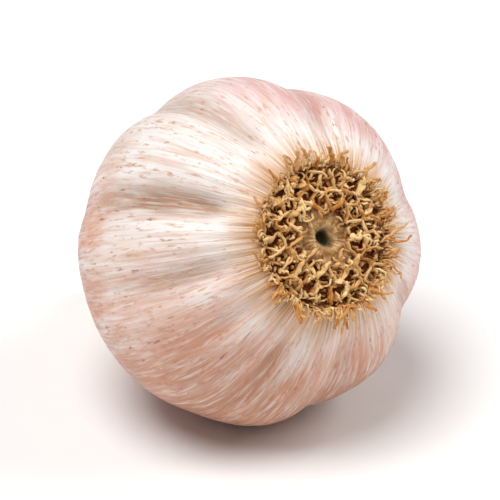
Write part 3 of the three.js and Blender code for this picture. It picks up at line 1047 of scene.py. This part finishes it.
for number, (hex_code, width_mm, length_mm, low, high, share, where) in enumerate(LAYERS):
    grain = streaks(width_mm, length_mm, SEED_STEP * number, STREAK_DETAIL)
    mask = add(tree, "ShaderNodeMapRange", Value=grain, From_Min=low, From_Max=high, To_Max=share)
    if where:
        mask = add(tree, "ShaderNodeMath", TIMES, at_0=mask, at_1=tones[where])
    colour = add(tree, "ShaderNodeMix", MIX, out=2, Factor=mask, at_6=colour, at_7=linear(hex_code))
tree.links.new(colour, surface.inputs["Base Color"])
print(len(LAYERS), "layers of colour on", SKIN_BASE)

# %% [markdown]
# The fibres stand out a little too, as fine ridges that the light rakes over. They are far too shallow for
# the mesh, so here a bump is the right tool: two streaky noises, one and a third of a millimetre wide, give
# its height.

# %% Fibres of the skin
BUMP_HEIGHT = 0.3 * MM
coarse_fibres = streaks(0.93, 12.6, 500, 3)
fine_fibres = streaks(0.37, 7.6, 530, 2)
fibres = add(tree, "ShaderNodeMath", PLUS, at_0=coarse_fibres, at_1=fine_fibres)
dent = add(tree, "ShaderNodeBump", Strength=0.45, Distance=BUMP_HEIGHT, Height=fibres)
tree.links.new(dent, surface.inputs["Normal"])
for piece in [bulb_skin, *sheaths]:
    piece.data.materials.append(papery)
print(papery.name, "has", len(tree.nodes), "nodes")

# %% [markdown]
# The roots are dead plant fibre, dried till they shrivelled: matt, straw to brown, paler where the light and
# the brush reached them, and darker down in the hollows, partly with old soil and partly with painted shade.
# Noise alone would colour neighbours alike, so each root's stored tone sets its colour, and noise with spots
# of 0.7 mm, as wide as a root, only breaks it up. A second mix darkens what lies less than a millimetre
# above the plate: old soil and painted shade.

# %% Dried root
ROOT_SPOT = 0.71 * MM
root_material, tree, surface = new_material("dried_garlic_root", Roughness=0.75, IOR=1.45)
tone = add(tree, "ShaderNodeAttribute", {"attribute_name": "tone"}, out="Fac")
above = add(tree, "ShaderNodeAttribute", {"attribute_name": "above"}, out="Fac")
room = add(tree, "ShaderNodeTexCoord", out="Object")
grain = add(tree, "ShaderNodeTexNoise", Vector=room, Scale=1 / ROOT_SPOT, Detail=3.0)
play = add(tree, "ShaderNodeMath", {"operation": "MULTIPLY_ADD"}, at_0=grain, at_1=0.9, at_2=-0.45)
mixed = add(tree, "ShaderNodeMath", PLUS, at_0=play, at_1=tone)
pale = add(tree, "ShaderNodeMapRange", Value=mixed, From_Min=0.0, From_Max=1.0)
colour = add(tree, "ShaderNodeMix", MIX, out=2, Factor=pale, at_6=linear("#c17926"), at_7=linear("#fbdca0"))
# Darker low down: old soil together with painted shade in the hollows.
low_soil_and_shade = add(tree, "ShaderNodeMapRange", Value=above, From_Min=0.8, From_Max=-0.1)
colour = add(tree, "ShaderNodeMix", MIX, out=2, Factor=low_soil_and_shade, at_6=colour, at_7=linear("#934f0e"))
tree.links.new(colour, surface.inputs["Base Color"])
for piece in [root_mat, bristles]:
    piece.data.materials.append(root_material)
print(root_material.name, "has", len(tree.nodes), "nodes")

# %% [markdown]
# The plate is cork: dead, spongy tissue, matt and crumbly, with flecks of about a millimetre. Under the roots
# it is dark with soil, the bare middle is paler, and the dimple in it is nearly black, partly its own dark
# tissue and partly painted shade in the hollow. The distance from the axis, stored on the mesh with the
# dimple's own oval, places the three zones. Painted zones would need an unwrapped plate and give nothing
# more.

# %% Corky plate
CORK_FLECK = 1.1 * MM
cork, tree, surface = new_material("corky_root_plate", Roughness=0.9, IOR=1.45)
away = add(tree, "ShaderNodeAttribute", {"attribute_name": "from_axis"}, out="Fac")
room = add(tree, "ShaderNodeTexCoord", out="Object")
grain = add(tree, "ShaderNodeTexNoise", Vector=room, Scale=1 / CORK_FLECK, Detail=4.0)
fleck = add(tree, "ShaderNodeMapRange", Value=grain, From_Min=0.35, From_Max=0.65)
colour = add(tree, "ShaderNodeMix", MIX, out=2, Factor=fleck, at_6=linear("#a1743d"), at_7=linear("#dab685"))
outer = add(tree, "ShaderNodeMapRange", Value=away, From_Min=0.34, From_Max=0.5)
colour = add(tree, "ShaderNodeMix", MIX, out=2, Factor=outer, at_6=colour, at_7=linear("#7d420f"))
# Nearly black in the dimple: its own dark tissue together with painted shade in the hollow.
dimple_dark_and_shade = add(tree, "ShaderNodeMapRange", Value=away, From_Min=0.16, From_Max=0.08)
colour = add(tree, "ShaderNodeMix", MIX, out=2, Factor=dimple_dark_and_shade, at_6=colour, at_7=linear("#332c14"))
tree.links.new(colour, surface.inputs["Base Color"])
root_plate.data.materials.append(cork)
print(cork.name, "has", len(tree.nodes), "nodes")

# %% [markdown]
# The stalk's cut end is dried pith: a pale woody rind round softer, orange, spongy tissue. The sponge's pores
# are about a third of a millimetre across, which would hardly show, so the mottle is drawn twice as coarse.
# Real holes would need a far finer mesh for a place that is seldom seen.

# %% Cut stalk
PITH_MOTTLE = 0.67 * MM
pith, tree, surface = new_material("cut_dry_stalk", Roughness=0.8, IOR=1.45)
away = add(tree, "ShaderNodeAttribute", {"attribute_name": "from_axis"}, out="Fac")
room = add(tree, "ShaderNodeTexCoord", out="Object")
pores = add(tree, "ShaderNodeTexNoise", Vector=room, Scale=1 / PITH_MOTTLE, Detail=3.0)
mottle = add(tree, "ShaderNodeMapRange", Value=pores, From_Min=0.38, From_Max=0.62)
colour = add(tree, "ShaderNodeMix", MIX, out=2, Factor=mottle, at_6=linear("#da8a46"), at_7=linear("#fbca8a"))
rind = add(tree, "ShaderNodeMapRange", Value=away, From_Min=0.82, From_Max=0.96)
colour = add(tree, "ShaderNodeMix", MIX, out=2, Factor=rind, at_6=colour, at_7=linear("#f7e2bd"))
tree.links.new(colour, surface.inputs["Base Color"])
flower_stalk.data.materials.append(pith)
print(pith.name, "has", len(tree.nodes), "nodes")

# %% [markdown]
# The stage is a plain sheet of matt, pale paint, so large that its edge is out of sight. It catches the
# bulb's shadow and throws some light back up, which a plain background colour wouldn't do.

# %% Floor
FLOOR_REACH = 6.0
SQUARE = [(-1, -1), (1, -1), (1, 1), (-1, 1)]
mesh = bpy.data.meshes.new("floor")
mesh.from_pydata([(x * FLOOR_REACH, y * FLOOR_REACH, 0) for x, y in SQUARE], [], [(0, 1, 2, 3)])
floor = bpy.data.objects.new("floor", mesh)
bpy.context.collection.objects.link(floor)
floor_paint, _, _ = new_material("pale_floor", Roughness=0.9, Base_Color=linear("#fbfaf9"))
floor.data.materials.append(floor_paint)
print("floor", 2 * FLOOR_REACH, "m wide")

# %% [markdown]
# The light is plain and soft, as in a studio. The main one is a disc a metre wide, high up on the left, which
# gives soft shadows in the creases. A second, weaker one from the right opens the dark side, and a dim white
# room fills what is left. A sun lamp would be simpler, but its shadows have hard edges.

# %% Lights
LIT_POINT = Vector((0, 0, 0.025))
ROOM_STRENGTH = 0.155


def toward(azimuth, elevation):
    """The direction from the bulb to a place that looks at it; azimuth 0 is in front, at -Y."""
    level = np.cos(elevation)
    return Vector((np.sin(azimuth) * level, -np.cos(azimuth) * level, np.sin(elevation)))


def aim(thing, place, target):
    """Puts a light or a camera in its place and turns it to the target."""
    thing.location = place
    thing.rotation_euler = (target - place).to_track_quat("-Z", "Y").to_euler()


def soft_light(name, azimuth_deg, elevation_deg, distance, size, watts):
    """A round soft lamp that shines on the bulb."""
    lamp = bpy.data.lights.new(name, "AREA")
    lamp.shape, lamp.size, lamp.energy = "DISK", size, watts
    light = bpy.data.objects.new(name, lamp)
    bpy.context.collection.objects.link(light)
    aim(light, toward(np.radians(azimuth_deg), np.radians(elevation_deg)) * distance, LIT_POINT)
    print(name, watts, "W at", [round(v, 2) for v in light.location])


soft_light("key_light", azimuth_deg=-90, elevation_deg=72, distance=1.6, size=1.1, watts=23.5)
soft_light("fill_light", azimuth_deg=64, elevation_deg=40, distance=1.6, size=1.0, watts=10.5)
world = bpy.data.worlds.new("white_room")
bpy.context.scene.world = world
world.use_nodes = True
world.node_tree.nodes["Background"].inputs["Color"].default_value = (1, 1, 1, 1)
world.node_tree.nodes["Background"].inputs["Strength"].default_value = ROOM_STRENGTH
bpy.context.scene.view_settings.view_transform = "Standard"

# %% [markdown]
# The camera looks down at the bulb from the front left, where it meets the roots at a slant. It could stand
# close with a short lens, but that would swell the near side. It stands most of a metre away with a long
# lens instead, which keeps the bulb's roundness true. The lens follows from the distance and from how wide
# the picture is at the bulb: 80 millimetres.

# %% Camera
VIEW_AZIMUTH = np.radians(-35.5)
VIEW_ELEVATION = np.radians(31.5)
CAMERA_DISTANCE = 0.8
FRAME_WIDTH = 0.080
TARGET = Vector(CENTRE_MM) * MM
lens = bpy.data.cameras.new("camera")
lens.lens = lens.sensor_width * CAMERA_DISTANCE / FRAME_WIDTH
lens.clip_start, lens.clip_end = 0.01, 20
camera = bpy.data.objects.new("camera", lens)
bpy.context.collection.objects.link(camera)
aim(camera, TARGET + toward(VIEW_AZIMUTH, VIEW_ELEVATION) * CAMERA_DISTANCE, TARGET)
bpy.context.scene.camera = camera
print("lens", round(lens.lens), "mm")
